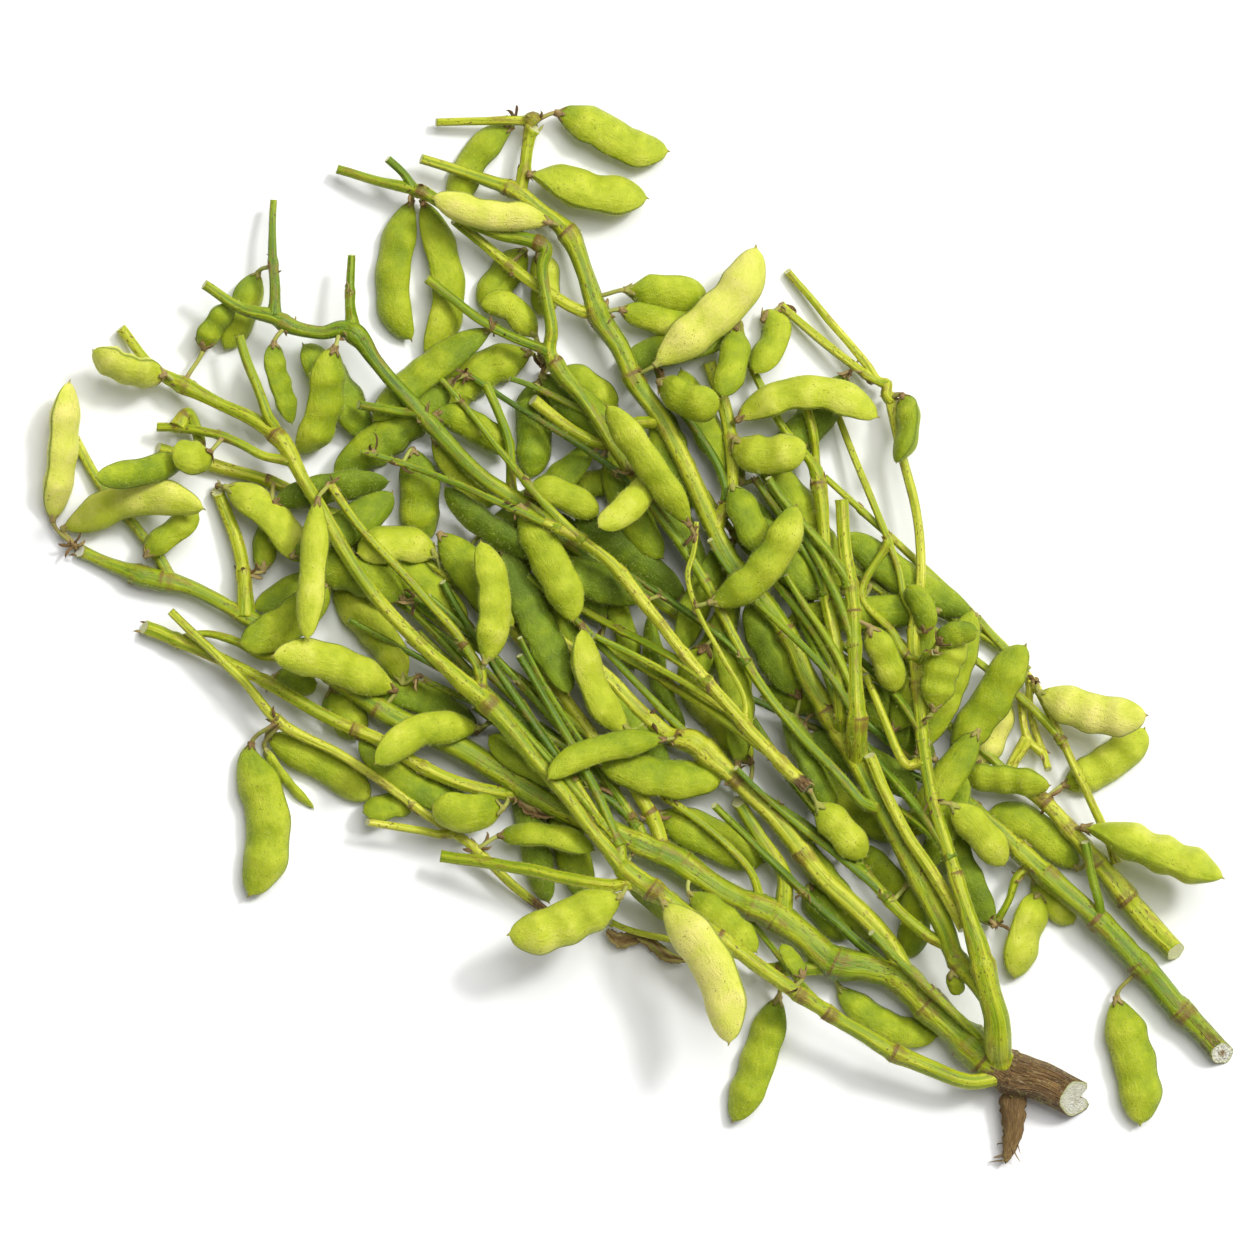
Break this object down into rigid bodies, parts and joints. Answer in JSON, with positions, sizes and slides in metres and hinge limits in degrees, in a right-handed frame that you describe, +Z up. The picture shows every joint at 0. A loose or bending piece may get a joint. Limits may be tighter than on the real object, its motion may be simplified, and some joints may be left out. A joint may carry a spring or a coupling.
{
  "type": "edamame pod bundle",
  "caption": "Loose bundle of cut soybean stems lying flat, with branching stalks and short plump green pods on them.",
  "frame": {"origin": "centre of the footprint, on the surface that the bundle lies on", "axes": "+Z up from that surface; +X towards the cut ends of the stems, along the bundle's longest side; +Y across, towards the back of the bundle"},
  "size_m": [0.3984, 0.353, 0.0402],
  "materials": {
    "stem_woody": "matt, brown at the foot",
    "stem_green": "satin, finely ridged and hairy",
    "stem_dark": "satin, finely ridged",
    "stem_light": "satin, finely ridged and hairy",
    "pod_green": "matt, softly hairy skin",
    "pod_light": "matt, softly hairy skin",
    "pod_yellow": "matt, softly hairy skin",
    "pod_dark": "matt, softly hairy skin"
  },
  "bodies": {
    "root": {"pods_cut_end": "pod_green", "pods_under_right_stalk": "pod_green", "pods_far_right_low": "pod_green", "pods_front_left": "pod_green", "pods_low_back": "pod_green", "pods_back_hanging": "pod_green", "pods_back_middle": "pod_green", "pods_far_left_hanging": "pod_green", "pods_left_centre": "pod_dark", "yellow_stalk": "stem_light", "pods_far_right": "pod_yellow", "pods_right_yellow": "pod_yellow", "green_stalk": "stem_dark", "main_stalk": "stem_woody", "left_leaf_stalk": "stem_light", "pods_left_round": "pod_light", "pods_middle_front": "pod_green", "pods_front_green": "pod_green", "pods_left_front": "pod_light", "pods_left_hanging": "pod_light", "pods_left_corner": "pod_yellow", "middle_stem": "stem_green", "pods_tip_end": "pod_green", "pods_tip_edge": "pod_light", "pods_back_pair": "pod_green", "dark_stem": "stem_dark", "upper_left_stem": "stem_dark", "pods_back_yellow": "pod_yellow", "pods_upper_left": "pod_green", "pods_centre_green": "pod_green", "striped_stem": "stem_light", "right_branch": "stem_green", "crossing_stem": "stem_green", "cut_stem": "stem_green", "pods_right_light": "pod_light", "pods_right_green": "pod_green", "pods_right_upper": "pod_green", "pods_right_low": "pod_light", "pods_far_right_edge": "pod_green", "pods_centre_bud": "pod_light", "left_branch": "stem_green", "pods_centre_hairy": "pod_light", "yellow_branch": "stem_light", "pods_left_middle": "pod_light", "pods_left_outer": "pod_light", "pods_hub_right": "pod_light", "top_light_stem": "stem_light", "long_side_shoot": "stem_green", "pods_left_edge": "pod_yellow", "pods_left_upper": "pod_light", "pods_left_top": "pod_light", "pods_top_left_light": "pod_light", "pods_top_centre": "pod_light", "pods_top_edge": "pod_green", "pods_top_seam": "pod_light", "pods_top_green": "pod_green", "pods_top_pair": "pod_light", "pods_top_yellow": "pod_yellow", "pods_front_right": "pod_yellow", "pods_front": "pod_light"}
  },
  "joints": []
}
